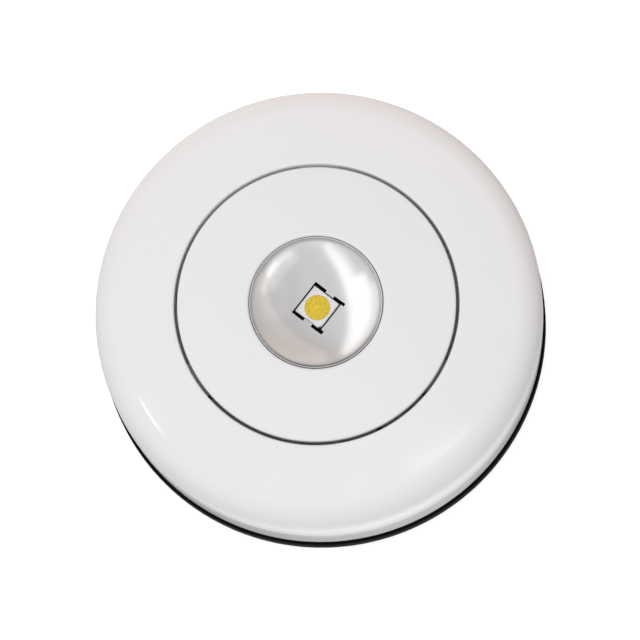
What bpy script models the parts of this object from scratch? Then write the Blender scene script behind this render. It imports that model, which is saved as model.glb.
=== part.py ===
"""A round stick-on push light: a twist-off base, a domed housing with three AAA cells behind its deck,
and a sprung front disc that carries the reflector bowl. Sizes are in metres, +Z points out of the front."""

from math import asin, atan2, cos, hypot, pi, radians, sin, sqrt, tau

import bmesh
import bpy
from mathutils import Matrix, Vector

# Room between pieces
seat_gap = 0.0003
solder_gap = 0.0001
cut_overrun = 0.0006
union_overlap = 0.0004
merge_distance = 0.0000002

# Cells, and the bay that they lie in
cell_diameter = 0.0105
cell_length = 0.0445
cell_pitch = 0.0109
nub_radius = 0.0019
nub_height = 0.0012
cell_edge = 0.0004
cell_end_recess = 0.0003
cell_end_radius = 0.0038
contact_thickness = 0.0004
contact_width = 0.0080
contact_height = 0.0074
contact_bump = 0.0004
contact_bump_radius = 0.0015
contact_tab_width = 0.0022
contact_tab_rise = 0.0014
# A tab or finger is a little thinner than its plate, so that no faces of the two coincide
tab_share = 0.9
spring_length = 0.0028
spring_wire = 0.00045
spring_foot_radius = 0.0034
spring_head_radius = 0.0018
spring_turns = 3

# Pad and base plate
pad_radius = 0.0240
pad_thickness = 0.0010
pad_edge = 0.0002
base_floor = 0.0016
base_band_height = 0.0037
base_proud = 0.0002
base_chamfer = 0.0009
lip_rise = 0.0011
hook_web = 0.0009
hook_flange = 0.0016
hook_edge = 0.0004
hook_half_angle = radians(6.5)
hook_stop_angle = radians(-7.4)
hook_stop_half_angle = radians(1.1)
hook_count = 4

# Tray
tray_deck = 0.0012
tray_wall = 0.0012
tray_corner_wall = 0.0005
tray_wall_lift = 0.0006
tray_rib_top_width = 0.0032
tray_rib_foot_width = 0.0009
tray_rib_depth = 0.0026
tray_rib_end_room = 0.0035
finger_notch_width = 0.0140
finger_notch_depth = 0.0030
board_post_radius = 0.0020
board_post_height = 0.0009
board_post_inset = 0.0028

# Housing
housing_wall = 0.0020
lug_depth = 0.0010
lug_height = 0.0016
lug_half_angle = radians(5.5)
band_height = 0.0058
band_inset = 0.0002
band_edge = 0.0002
crown_radius = 0.1260
shoulder_radius = 0.0052
face_edge = 0.0003
collar_wall = 0.0014
least_face_ring = 0.0094
screw_place_share = 0.31
screw_angle = radians(25)
boss_radius = 0.0022
face_rib_width = 0.0010
face_rib_depth = 0.0024
face_rib_reach = 0.0062
face_rib_angles = (radians(60), radians(120), radians(240), radians(300))

# Screws
screw_radius = 0.0009
screw_hole_radius = 0.0012
screw_length = 0.0052
screw_head_radius = 0.0019
screw_head_height = 0.0013
screw_slot_width = 0.0005
screw_slot_length = 0.0022
screw_slot_depth = 0.0006
board_screw_length = 0.0031

# Circuit board and what is soldered to it
board_room = 0.00105
board_thickness = 0.0012
led_side = 0.0050
led_height = 0.0016
led_lead_reach = 0.00008
led_lead_thickness = 0.0002
led_lead_width = 0.0009
led_lead_pitch = 0.0016
led_window_radius = 0.0020
led_window_depth = 0.0006
led_corner = 0.0006
led_turn = radians(-38)
resistor_length = 0.0032
resistor_width = 0.0016
resistor_height = 0.0006
resistor_cap = 0.0005
resistor_inset = 0.0064
resistor_angle = radians(35)
switch_side = 0.0058
switch_floor = 0.0003
switch_corner = 0.0005
plunger_side = 0.0028
plunger_engagement = 0.0003
plunger_proud = 0.0002
wire_radius = 0.0004
wire_hole_radius = 0.0009
wire_hole_inset = 0.0043
wire_hole_angle = radians(60)
wire_end_rise = 0.0003

# Disc and reflector
press_travel = 0.0012
press_room = 0.0002
disc_radius = 0.02175
disc_gap = 0.0005
disc_wall = 0.0015
disc_inner_edge = 0.0005
disc_skirt_wall = 0.0014
disc_skirt_depth = 0.0016
catch_leg_inset = 0.00015
catch_reach = 0.0011
catch_height = 0.0012
catch_lift = 0.0007
catch_lead_in = 0.0005
catch_half_angle = radians(8)
catch_count = 3
catch_room = 0.0004
reflector_wall = 0.0006
reflector_mouth_radius = 0.01025
reflector_lip = 0.00015
reflector_depth = 0.0041
reflector_lip_drop = 0.0003
reflector_joint_gap = 0.00015
reflector_flange_margin = 0.0013
reflector_flange = 0.0008
stake_inset = 0.0012
stake_radius = 0.00055
stake_count = 3
stake_room = 0.00025
stake_proud = 0.0003
window_side_room = 0.0001
window_end_room = 0.0002
window_slot_depth = 0.0004
window_slot_length = 0.0022
window_slot_shift = 0.00035
window_tongue_width = 0.0015
press_post_radius = 0.0014

# Facets
wide_sides = 60
disc_sides = 60
bowl_sides = 40
cell_sides = 24
small_sides = 16
curve_points_per_turn = 10
dome_steps = 5
shoulder_steps = 6
inside_steps = 3
edge_steps = 2
bowl_steps = 7

# Radii that follow from the cells
cell_radius = cell_diameter / 2
bay_half_width = cell_pitch + cell_radius + seat_gap
bay_length = cell_length + spring_length + contact_bump + 2 * contact_thickness + 5 * seat_gap
bay_half_length = bay_length / 2
tray_round_radius = hypot(bay_half_width, bay_half_length) + tray_corner_wall
bay_reach = tray_round_radius + seat_gap + hook_web + seat_gap + lug_depth
opening_radius = disc_radius + disc_gap
collar_radius = opening_radius + collar_wall
inner_radius = max(bay_reach, collar_radius + least_face_ring)
lug_inner_radius = inner_radius - lug_depth
hook_inner_radius = lug_inner_radius - seat_gap - hook_web
body_radius = inner_radius + housing_wall
base_radius = body_radius + base_proud
lip_outer_radius = inner_radius - seat_gap
deck_radius = inner_radius - seat_gap
screw_place = collar_radius + screw_place_share * (inner_radius - collar_radius)

# Radii that follow from the disc and its bowl
skirt_inner_radius = disc_radius - disc_skirt_wall
disc_opening_radius = reflector_mouth_radius + reflector_lip + reflector_joint_gap
stake_place = disc_opening_radius + stake_inset
reflector_flange_radius = stake_place + reflector_flange_margin
switch_place = reflector_flange_radius + seat_gap + press_post_radius
board_radius = skirt_inner_radius - board_room
board_post_place = board_radius - board_post_inset
wire_hole_x = (board_radius - wire_hole_inset) * cos(wire_hole_angle)
wire_hole_y = (board_radius - wire_hole_inset) * sin(wire_hole_angle)
resistor_x = (board_radius - resistor_inset) * cos(resistor_angle)
resistor_y = (board_radius - resistor_inset) * sin(resistor_angle)

# Heights that follow from the stack, from the wall outward
base_bottom = pad_thickness + seat_gap
base_floor_top = base_bottom + base_floor
base_band_top = base_bottom + base_band_height
lip_top = base_band_top + lip_rise
housing_bottom = base_band_top + seat_gap
lug_bottom = lip_top + seat_gap
lug_top = lug_bottom + lug_height
hook_flange_bottom = lug_top + seat_gap
hook_top = hook_flange_bottom + hook_flange
cell_height = base_floor_top + seat_gap + cell_radius
deck_bottom = cell_height + cell_radius + seat_gap
deck_top = deck_bottom + tray_deck
board_bottom = deck_top + board_post_height + seat_gap
board_top = board_bottom + board_thickness
led_top = board_top + solder_gap + led_height
bowl_underside = board_top + press_travel + press_room
bowl_bottom = bowl_underside + reflector_wall
lip_height = bowl_bottom + reflector_depth
bowl_sphere_radius = (reflector_mouth_radius**2 + reflector_depth**2) / (2 * reflector_depth)
crown_centre = lip_height + reflector_lip_drop - sqrt(crown_radius**2 - disc_opening_radius**2)
catch_bottom = deck_top + catch_lift
catch_top = catch_bottom + catch_height
collar_bottom = catch_top + seat_gap
switch_bottom = board_top + solder_gap
switch_height = switch_floor + press_room + press_travel + plunger_engagement
switch_top = switch_bottom + switch_height
plunger_top = switch_top + press_travel + plunger_proud

tray_head_bottom = deck_bottom - seat_gap - screw_head_height
tray_screw_tip = tray_head_bottom + screw_head_height + screw_length

# Places along the cells
plate_face = bay_half_length - seat_gap - contact_thickness
nub_tip = plate_face - contact_bump - seat_gap
cell_tail = nub_tip - cell_length
spring_foot = plate_face - seat_gap


def clear_scene():
    for old in list(bpy.data.objects):
        bpy.data.objects.remove(old)


def material_named(name, colour, roughness, metallic):
    material = bpy.data.materials.new(name)
    material.use_nodes = True
    shader = material.node_tree.nodes["Principled BSDF"]
    shader.inputs["Base Color"].default_value = (*colour, 1)
    shader.inputs["Roughness"].default_value = roughness
    shader.inputs["Metallic"].default_value = metallic
    return material


def finished(name, shape, body=None, finish=None):
    """The object that holds this shape. Without a finish it is a tool, left out of the model."""
    bmesh.ops.recalc_face_normals(shape, faces=shape.faces)
    mesh = bpy.data.meshes.new(name)
    shape.to_mesh(mesh)
    shape.free()
    thing = bpy.data.objects.new(name, mesh)
    bpy.context.scene.collection.objects.link(thing)
    thing.parent = body
    if finish:
        mesh.materials.append(material_named(name, *finish))
        mesh.shade_smooth()
        mesh.set_sharp_from_angle(angle=radians(32))
    else:
        thing.hide_render = True
        thing.display_type = "WIRE"
    return thing


def combine(target, operation, *tools):
    for tool in tools:
        modifier = target.modifiers.new(tool.name, "BOOLEAN")
        modifier.operation = operation
        modifier.object = tool


def turned(shape, outline, sides):
    """Spins an outline of (radius, height) points about Z. One that begins on the axis stays open."""
    points = [shape.verts.new((radius, 0, height)) for radius, height in outline]
    pairs = list(zip(points, points[1:]))
    if outline[0][0] > 0:
        pairs.append((points[-1], points[0]))
    edges = [shape.edges.new(pair) for pair in pairs]
    bmesh.ops.spin(
        shape, geom=points + edges, cent=(0, 0, 0), axis=(0, 0, 1), angle=tau, steps=sides, use_merge=True
    )
    bmesh.ops.remove_doubles(shape, verts=shape.verts, dist=merge_distance)
    return shape


def swept(shape, outline, middle, half_angle, steps=3):
    """Spins a filled outline of (radius, height) points about Z through part of a turn."""
    start = Matrix.Rotation(middle - half_angle, 4, "Z")
    points = [shape.verts.new(start @ Vector((radius, 0, height))) for radius, height in outline]
    face = shape.faces.new(points)
    bmesh.ops.spin(shape, geom=[face], cent=(0, 0, 0), axis=(0, 0, 1), angle=2 * half_angle, steps=steps)
    return shape


def block(shape, centre, size, turn=0):
    place = Matrix.Translation(centre) @ Matrix.Rotation(turn, 4, "Z")
    return bmesh.ops.create_cube(shape, size=1, matrix=place @ Matrix.Diagonal((*size, 1)))["verts"]


def rod(shape, x, y, radius, bottom, top, sides=small_sides):
    place = Matrix.Translation((x, y, (bottom + top) / 2))
    bmesh.ops.create_cone(
        shape,
        cap_ends=True,
        segments=sides,
        radius1=radius,
        radius2=radius,
        depth=top - bottom,
        matrix=place,
    )
    return shape


def prism(shape, outline, bottom, top):
    """Raises a flat outline of (x, y) points from bottom to top."""
    face = shape.faces.new([shape.verts.new((x, y, bottom)) for x, y in outline])
    raised = bmesh.ops.extrude_face_region(shape, geom=[face])["geom"]
    points = [part for part in raised if isinstance(part, bmesh.types.BMVert)]
    bmesh.ops.translate(shape, verts=points, vec=(0, 0, top - bottom))
    return shape


def around(count, first=0.0):
    return [first + tau * step / count for step in range(count)]


def arc(centre, radius, start, end, steps):
    """Points (radius, height) of an arc in the turning plane, both ends included."""
    return [
        (
            centre[0] + radius * cos(start + (end - start) * step / steps),
            centre[1] + radius * sin(start + (end - start) * step / steps),
        )
        for step in range(steps + 1)
    ]


def crown_height(radius, depth=0.0):
    """Height of the lamp's crowned face at this radius, or of a surface that lies depth below it."""
    return crown_centre + sqrt((crown_radius - depth) ** 2 - radius**2)


def crown_arc(inner, outer, depth, steps):
    radii = [inner + (outer - inner) * step / steps for step in range(steps + 1)]
    return [(radius, crown_height(radius, depth)) for radius in radii]


def shoulder_centre():
    across = body_radius - shoulder_radius
    return across, crown_centre + sqrt((crown_radius - shoulder_radius) ** 2 - across**2)


def face_to_wall(inner, depth, dome, turn):
    """The outline of the domed face and its shoulder, from radius inner to the side wall."""
    across, height = shoulder_centre()
    lean = atan2(across, height - crown_centre)
    shoulder = arc((across, height), shoulder_radius - depth, pi / 2 - lean, 0, turn)
    return crown_arc(inner, shoulder[0][0], depth, dome)[:-1] + shoulder


def root_height(inner, outer):
    """A height inside the thickness of the domed wall all the way from radius inner to radius outer."""
    return (crown_height(outer) + crown_height(inner, housing_wall)) / 2


def screw_places():
    for turn in (screw_angle, pi - screw_angle, pi + screw_angle, -screw_angle):
        yield screw_place * cos(turn), screw_place * sin(turn)


def stake_places():
    """Centres of the stakes that hold the bowl. None stands over the switch."""
    for turn in around(stake_count, pi / 2):
        yield stake_place * cos(turn), stake_place * sin(turn)


def make_bodies():
    """Empties on the joints' axes: the base stays put, the housing twists, the disc and plunger slide."""
    bodies = {}
    for name, place in (
        ("base_frame", (0, 0, 0)),
        ("housing_frame", (0, 0, 0)),
        ("button_frame", (0, 0, 0)),
        ("plunger_frame", (0, -switch_place, 0)),
    ):
        frame = bpy.data.objects.new(name, None)
        frame.location = place
        frame.empty_display_size = pad_radius
        bpy.context.scene.collection.objects.link(frame)
        bodies[name] = frame
    bodies["housing_frame"].parent = bodies["base_frame"]
    bodies["button_frame"].parent = bodies["housing_frame"]
    bodies["plunger_frame"].parent = bodies["housing_frame"]
    return bodies


# The pieces that stay on the wall


def make_adhesive_pad(body):
    outline = [(0, 0), (pad_radius - pad_edge, 0), (pad_radius, pad_edge)]
    outline += [(pad_radius, pad_thickness - pad_edge), (pad_radius - pad_edge, pad_thickness)]
    outline += [(0, pad_thickness)]
    finished("adhesive_pad", turned(bmesh.new(), outline, wide_sides), body, ((0.82, 0.82, 0.80), 0.9, 0))


def make_base_plate(body):
    outline = [(0, base_bottom), (base_radius - base_chamfer, base_bottom)]
    outline += [(base_radius, base_bottom + base_chamfer), (base_radius, base_band_top - band_edge)]
    outline += [(base_radius - band_edge, base_band_top), (lip_outer_radius, base_band_top)]
    outline += [(lip_outer_radius, lip_top), (hook_inner_radius, lip_top)]
    outline += [(hook_inner_radius, base_floor_top), (0, base_floor_top)]
    plate = finished(
        "base_plate", turned(bmesh.new(), outline, wide_sides), body, ((0.012, 0.012, 0.013), 0.38, 0)
    )

    # The bayonet hooks rise from the lip and reach outward over the housing's lugs
    web_inner = hook_inner_radius + band_edge
    web_outer = hook_inner_radius + hook_web
    hook = [(web_inner, lip_top - union_overlap), (web_outer, lip_top - union_overlap)]
    hook += [(web_outer, hook_flange_bottom), (lip_outer_radius, hook_flange_bottom)]
    hook += [(lip_outer_radius, hook_top - hook_edge), (lip_outer_radius - hook_edge, hook_top)]
    hook += [(web_inner, hook_top)]
    hooks = bmesh.new()
    for turn in around(hook_count):
        swept(hooks, hook, turn, hook_half_angle)

    # A wall closes one end of each hook, where the lug stops when the lamp is locked
    stop = [(web_inner, lip_top - union_overlap), (lip_outer_radius - hook_edge, lip_top - union_overlap)]
    stop += [(lip_outer_radius - hook_edge, hook_top - hook_edge), (web_inner, hook_top - hook_edge)]
    stops = bmesh.new()
    for turn in around(hook_count, hook_stop_angle):
        swept(stops, stop, turn, hook_stop_half_angle, 1)
    combine(plate, "UNION", finished("base_hooks_tool", hooks), finished("hook_stops_tool", stops))


# The housing and what it carries


def make_front_housing(body):
    outer = face_to_wall(opening_radius + face_edge, 0, dome_steps, shoulder_steps)
    inner = face_to_wall(collar_radius, housing_wall, inside_steps, inside_steps)
    step_top = housing_bottom + band_height
    band_radius = body_radius - band_inset
    outline = [(inner_radius, housing_bottom)] + inner[::-1]
    outline += [(collar_radius, collar_bottom), (opening_radius, collar_bottom)]
    edge_centre = (opening_radius + face_edge, crown_height(opening_radius + face_edge) - face_edge)
    outline += arc(edge_centre, face_edge, pi, pi / 2, edge_steps)[:-1] + outer
    outline += [(body_radius, step_top + band_edge), (body_radius - band_edge, step_top)]
    outline += [(band_radius - band_edge, step_top), (band_radius, housing_bottom + band_edge)]
    outline += [(band_radius - band_edge, housing_bottom)]
    housing = finished(
        "front_housing", turned(bmesh.new(), outline, wide_sides), body, ((0.80, 0.80, 0.805), 0.22, 0)
    )

    lug_root = inner_radius + union_overlap
    lug = [(lug_inner_radius, lug_bottom), (lug_root, lug_bottom)]
    lug += [(lug_root, lug_top), (lug_inner_radius, lug_top)]
    lugs = bmesh.new()
    for turn in around(hook_count):
        swept(lugs, lug, turn, lug_half_angle)

    bosses = bmesh.new()
    pilots = bmesh.new()
    boss_root = root_height(screw_place - boss_radius, screw_place + boss_radius)
    boss_bottom = deck_top + seat_gap
    for x, y in screw_places():
        rod(bosses, x, y, boss_radius, boss_bottom, boss_root)
        rod(pilots, x, y, screw_hole_radius, boss_bottom - cut_overrun, tray_screw_tip + seat_gap)

    ribs = bmesh.new()
    rib_inner = collar_radius - union_overlap
    rib_outer = rib_inner + face_rib_reach
    rib_root = root_height(collar_radius, rib_outer)
    middle = (rib_inner + rib_outer) / 2
    for turn in face_rib_angles:
        centre = (middle * cos(turn), middle * sin(turn), rib_root - face_rib_depth / 2)
        block(ribs, centre, (rib_outer - rib_inner, face_rib_width, face_rib_depth), turn)

    combine(housing, "UNION", finished("lugs_tool", lugs), finished("bosses_tool", bosses))
    combine(housing, "UNION", finished("face_ribs_tool", ribs))
    combine(housing, "DIFFERENCE", finished("pilots_tool", pilots))


def make_battery_tray(body):
    deck = [(0, deck_bottom), (deck_radius - band_edge, deck_bottom), (deck_radius, deck_bottom + band_edge)]
    deck += [(deck_radius, deck_top - band_edge), (deck_radius - band_edge, deck_top), (0, deck_top)]
    tray = finished(
        "battery_tray", turned(bmesh.new(), deck, wide_sides), body, ((0.72, 0.72, 0.70), 0.45, 0)
    )

    # The wall round the cells is as round at its corners as the base's lip needs
    wall_bottom = base_floor_top + tray_wall_lift
    wall_top = deck_bottom + union_overlap
    wall_middle = (wall_bottom + wall_top) / 2
    wall_size = (2 * (bay_half_width + tray_wall), 2 * (bay_half_length + tray_wall), wall_top - wall_bottom)
    walls = bmesh.new()
    block(walls, (0, 0, wall_middle), wall_size)
    walls = finished("tray_walls_tool", walls)
    rounding = bmesh.new()
    rod(rounding, 0, 0, tray_round_radius, wall_bottom - cut_overrun, wall_top + cut_overrun, wide_sides)
    combine(walls, "INTERSECT", finished("tray_round_tool", rounding))

    bay = bmesh.new()
    bay_bottom = wall_bottom - cut_overrun
    bay_size = (2 * bay_half_width, 2 * bay_half_length, deck_bottom - bay_bottom)
    block(bay, (0, 0, (deck_bottom + bay_bottom) / 2), bay_size)

    notches = bmesh.new()
    notch_height = finger_notch_depth + cut_overrun
    notch_length = 2 * (tray_wall + cut_overrun)
    for side in (-1, 1):
        centre = (side * (bay_half_width + tray_wall / 2), 0, bay_bottom + notch_height / 2)
        block(notches, centre, (notch_length, finger_notch_width, notch_height))

    ribs = bmesh.new()
    rib_root = deck_bottom + union_overlap
    rib_foot = deck_bottom - tray_rib_depth
    for side in (-1, 1):
        add_cell_rib(ribs, side * cell_pitch / 2, rib_foot, rib_root)

    posts = bmesh.new()
    for turn in around(4):
        x = board_post_place * cos(turn)
        y = board_post_place * sin(turn)
        rod(posts, x, y, board_post_radius, deck_top - union_overlap, deck_top + board_post_height)

    combine(tray, "UNION", walls, finished("board_posts_tool", posts))
    combine(tray, "DIFFERENCE", finished("bay_tool", bay), finished("finger_notches_tool", notches))
    combine(tray, "UNION", finished("cell_ribs_tool", ribs))
    combine(tray, "DIFFERENCE", finished("tray_holes_tool", tray_holes()))


def add_cell_rib(shape, x, foot, root):
    """A keel that hangs from the deck into the valley between two cells."""
    half_length = bay_half_length - tray_rib_end_room
    top = tray_rib_top_width / 2
    bottom = tray_rib_foot_width / 2
    outline = [(x - bottom, foot), (x + bottom, foot), (x + top, root), (x - top, root)]
    face = shape.faces.new([shape.verts.new((across, -half_length, height)) for across, height in outline])
    raised = bmesh.ops.extrude_face_region(shape, geom=[face])["geom"]
    points = [part for part in raised if isinstance(part, bmesh.types.BMVert)]
    bmesh.ops.translate(shape, verts=points, vec=(0, 2 * half_length, 0))


def tray_holes():
    holes = bmesh.new()
    bottom = deck_bottom - cut_overrun
    top = deck_top + board_post_height + cut_overrun
    for x, y in screw_places():
        rod(holes, x, y, screw_hole_radius, bottom, top)
    for side in (-1, 1):
        rod(holes, side * board_post_place, 0, screw_hole_radius, bottom, top)
        tab_y = side * (plate_face + contact_thickness / 2)
        tab_size = (contact_tab_width + 2 * seat_gap, contact_thickness + 2 * seat_gap, top - bottom)
        block(holes, (-side * cell_pitch, tab_y, (top + bottom) / 2), tab_size)
    slot_inner = skirt_inner_radius - catch_room
    slot_outer = opening_radius + catch_reach + catch_room
    slot = [(slot_inner, bottom), (slot_outer, bottom), (slot_outer, top), (slot_inner, top)]
    for turn in around(catch_count, pi / 2):
        swept(holes, slot, turn, catch_half_angle + catch_room / disc_radius)
    return holes


def make_screw(name, body, place, length, pointing):
    """A pan-head screw with a cross recess. Its tip points up where pointing is 1, and down at -1."""
    rim = screw_head_radius - screw_slot_width
    outline = [(0, 0), (rim, 0), (screw_head_radius, screw_head_height / 2)]
    outline += [(screw_head_radius, screw_head_height), (screw_radius, screw_head_height)]
    outline += [(screw_radius, screw_head_height + length - screw_radius), (0, screw_head_height + length)]
    screw = finished(name, turned(bmesh.new(), outline, small_sides), body, ((0.55, 0.55, 0.56), 0.3, 1))
    cross = bmesh.new()
    depth = 2 * screw_slot_depth
    block(cross, (0, 0, 0), (screw_slot_length, screw_slot_width, depth))
    bar = finished(name + "_slot_a", cross, body)
    cross = bmesh.new()
    block(cross, (0, 0, 0), (screw_slot_width, screw_slot_length, depth))
    other_bar = finished(name + "_slot_b", cross, body)
    combine(screw, "DIFFERENCE", bar, other_bar)
    for thing in (screw, bar, other_bar):
        thing.location = place
        thing.rotation_euler = (0 if pointing > 0 else pi, 0, 0)


def make_screws(body):
    for number, (x, y) in enumerate(screw_places(), 1):
        make_screw(f"tray_screw_{number}", body, (x, y, tray_head_bottom), screw_length, 1)
    board_head = board_top + seat_gap + screw_head_height
    for number, side in enumerate((-1, 1), 1):
        place = (side * board_post_place, 0, board_head)
        make_screw(f"board_screw_{number}", body, place, board_screw_length, -1)


def make_cells(body):
    """Three AAA cells side by side, every other one turned round."""
    case_top = cell_length - nub_height
    outline = [(0, cell_end_recess), (cell_end_radius, cell_end_recess)]
    outline += [(cell_end_radius + cell_edge, 0), (cell_radius - cell_edge, 0), (cell_radius, cell_edge)]
    outline += [(cell_radius, case_top - cell_edge), (cell_radius - cell_edge, case_top)]
    outline += [(nub_radius, case_top), (nub_radius, cell_length), (0, cell_length)]
    for number, side in enumerate((1, -1, 1), 1):
        shape = turned(bmesh.new(), outline, cell_sides)
        cell = finished(f"battery_{number}", shape, body, ((0.05, 0.16, 0.10), 0.35, 0.3))
        cell.location = ((number - 2) * cell_pitch, side * cell_tail, cell_height)
        cell.rotation_euler = (-side * pi / 2, 0, 0)


def make_contact(name, body, side, cells, bump_cell, tab_cell=None):
    """A pressed plate on an end wall of the bay, across one cell or two, with a bump for a cell's nub."""
    left = min(cells) * cell_pitch - contact_width / 2
    right = max(cells) * cell_pitch + contact_width / 2
    plate_y = side * (plate_face + contact_thickness / 2)
    plate = bmesh.new()
    plate_size = (right - left, contact_thickness, contact_height)
    block(plate, ((left + right) / 2, plate_y, cell_height), plate_size)
    finish = ((0.62, 0.61, 0.58), 0.28, 1)
    contact = finished(name, plate, body, finish)
    if bump_cell is not None:
        bump = bmesh.new()
        rod(bump, 0, 0, contact_bump_radius, 0, contact_bump + contact_thickness / 2)
        bump_tool = finished(name + "_bump", bump, body)
        bump_tool.location = (bump_cell * cell_pitch, plate_y, cell_height)
        bump_tool.rotation_euler = (side * pi / 2, 0, 0)
        combine(contact, "UNION", bump_tool)
    if tab_cell is not None:
        tab = bmesh.new()
        tab_bottom = cell_height
        tab_top = deck_top + contact_tab_rise
        tab_size = (contact_tab_width, contact_thickness * tab_share, tab_top - tab_bottom)
        block(tab, (tab_cell * cell_pitch, plate_y, (tab_top + tab_bottom) / 2), tab_size)
        combine(contact, "UNION", finished(name + "_tab", tab, body))


def make_contacts(body):
    make_contact("contact_positive", body, 1, (-1,), -1, -1)
    make_contact("contact_link_front", body, 1, (0, 1), 1)
    make_contact("contact_link_rear", body, -1, (-1, 0), 0)
    make_contact("contact_negative", body, -1, (1,), None, 1)


def spring_points():
    """A cone of wire: a round foot at height zero, turns that narrow upward, and straight ends."""
    steps = spring_turns * curve_points_per_turn
    rise = spring_length - spring_wire
    points = []
    for step in range(steps + 1):
        share = step / steps
        radius = spring_foot_radius + (spring_head_radius - spring_foot_radius) * share
        turn = tau * step / curve_points_per_turn
        points.append(Vector((radius * cos(turn), radius * sin(turn), spring_wire / 2 + rise * share)))
    return points


def least_gap(points, wire):
    """The least clear distance between a wound wire and itself, past half a turn along it."""
    apart = curve_points_per_turn // 2
    gaps = [
        (one - other).length - wire for index, one in enumerate(points) for other in points[index + apart :]
    ]
    return min(gaps)


def wire_object(name, points, radius, resolution, body, finish):
    curve = bpy.data.curves.new(name, "CURVE")
    curve.dimensions = "3D"
    curve.bevel_depth = radius
    curve.bevel_resolution = resolution
    curve.use_fill_caps = True
    spline = curve.splines.new("POLY")
    spline.points.add(len(points) - 1)
    for slot, point in zip(spline.points, points):
        slot.co = (*point, 1)
    curve.materials.append(material_named(name, *finish))
    wire = bpy.data.objects.new(name, curve)
    wire.parent = body
    bpy.context.scene.collection.objects.link(wire)
    return wire


def make_battery_springs(body):
    points = spring_points()
    print("battery spring, least gap to itself in mm:", round(1000 * least_gap(points, spring_wire), 3))
    for number, side in enumerate((-1, 1, -1), 1):
        spring = wire_object(
            f"battery_spring_{number}", points, spring_wire / 2, 1, body, ((0.66, 0.65, 0.62), 0.25, 1)
        )
        spring.location = ((number - 2) * cell_pitch, side * spring_foot, cell_height)
        spring.rotation_euler = (side * pi / 2, 0, 0)


def make_circuit_board(body):
    board = finished(
        "circuit_board",
        rod(bmesh.new(), 0, 0, board_radius, board_bottom, board_top, disc_sides),
        body,
        ((0.015, 0.02, 0.018), 0.35, 0),
    )
    holes = bmesh.new()
    bottom = board_bottom - cut_overrun
    top = board_top + cut_overrun
    for side in (-1, 1):
        rod(holes, side * board_post_place, 0, screw_hole_radius, bottom, top)
        rod(holes, -side * wire_hole_x, side * wire_hole_y, wire_hole_radius, bottom, top)
    combine(board, "DIFFERENCE", finished("board_holes_tool", holes))


def make_led(body):
    """A square surface-mount emitter on its lead frame, with a round window of phosphor."""
    turn = Matrix.Rotation(led_turn, 4, "Z")
    frame_bottom = board_top + solder_gap
    frame_top = frame_bottom + led_lead_thickness
    leads = bmesh.new()
    tongue = led_side - 2 * led_corner
    block(leads, (0, 0, (frame_bottom + frame_top) / 2), (tongue, tongue, led_lead_thickness))
    leads = finished("led_leads", leads, body, ((0.75, 0.75, 0.74), 0.25, 1))
    fingers = bmesh.new()
    for row in (-1, 0, 1):
        size = (led_side + 2 * led_lead_reach, led_lead_width, led_lead_thickness * tab_share)
        block(fingers, (0, row * led_lead_pitch, (frame_bottom + frame_top) / 2), size)
    combine(leads, "UNION", finished("led_fingers_tool", fingers))
    leads.matrix_basis = turn
    bpy.data.objects["led_fingers_tool"].matrix_basis = turn

    half = led_side / 2
    cut = half - led_corner
    outline = [(half, half), (-half, half), (-half, -half), (cut, -half), (half, -cut)]
    package = prism(bmesh.new(), outline, frame_top + solder_gap, led_top)
    package = finished("led_package", package, body, ((0.86, 0.86, 0.84), 0.35, 0))
    window_floor = led_top - led_window_depth
    window = rod(bmesh.new(), 0, 0, led_window_radius, window_floor, led_top + cut_overrun, cell_sides)
    window_tool = finished("led_window_tool", window)
    combine(package, "DIFFERENCE", window_tool)
    package.matrix_basis = turn
    window_tool.matrix_basis = turn

    phosphor_radius = led_window_radius - solder_gap
    edge = solder_gap
    outline = [(0, window_floor + solder_gap), (phosphor_radius, window_floor + solder_gap)]
    outline += [(phosphor_radius, led_top - edge), (phosphor_radius - edge, led_top), (0, led_top)]
    finished("led_phosphor", turned(bmesh.new(), outline, cell_sides), body, ((0.80, 0.56, 0.06), 0.5, 0))


def make_resistor(body):
    shape = bmesh.new()
    bottom = board_top + solder_gap
    block(shape, (0, 0, bottom + resistor_height / 2), (resistor_length, resistor_width, resistor_height))
    resistor = finished("led_resistor", shape, body, ((0.02, 0.02, 0.02), 0.4, 0))
    caps = bmesh.new()
    for side in (-1, 1):
        centre = (side * (resistor_length - resistor_cap) / 2, 0, bottom + resistor_height / 2)
        cap_side = resistor_width + solder_gap
        block(caps, centre, (resistor_cap + solder_gap, cap_side, resistor_height - solder_gap))
    caps = finished("resistor_caps_tool", caps)
    combine(resistor, "UNION", caps)
    for thing in (resistor, caps):
        thing.location = (resistor_x, resistor_y, 0)


def rounded_square(side, corner):
    """A square's outline with cut corners."""
    half = side / 2
    cut = half - corner
    return [
        (half, -cut),
        (half, cut),
        (cut, half),
        (-cut, half),
        (-half, cut),
        (-half, -cut),
        (-cut, -half),
        (cut, -half),
    ]


def make_switch(body, plunger_body):
    case = finished(
        "switch_case",
        prism(bmesh.new(), rounded_square(switch_side, switch_corner), switch_bottom, switch_top),
        body,
        ((0.03, 0.03, 0.035), 0.45, 0),
    )
    well = bmesh.new()
    well_side = plunger_side + 2 * solder_gap
    well_bottom = switch_bottom + switch_floor
    well_top = switch_top + cut_overrun
    block(well, (0, 0, (well_bottom + well_top) / 2), (well_side, well_side, well_top - well_bottom))
    well = finished("switch_well_tool", well)
    combine(case, "DIFFERENCE", well)
    case.location = (0, -switch_place, 0)
    well.location = (0, -switch_place, 0)
    plunger_bottom = switch_top - plunger_engagement
    finished(
        "switch_plunger",
        prism(bmesh.new(), rounded_square(plunger_side, switch_corner), plunger_bottom, plunger_top),
        plunger_body,
        ((0.78, 0.78, 0.76), 0.4, 0),
    )


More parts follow.
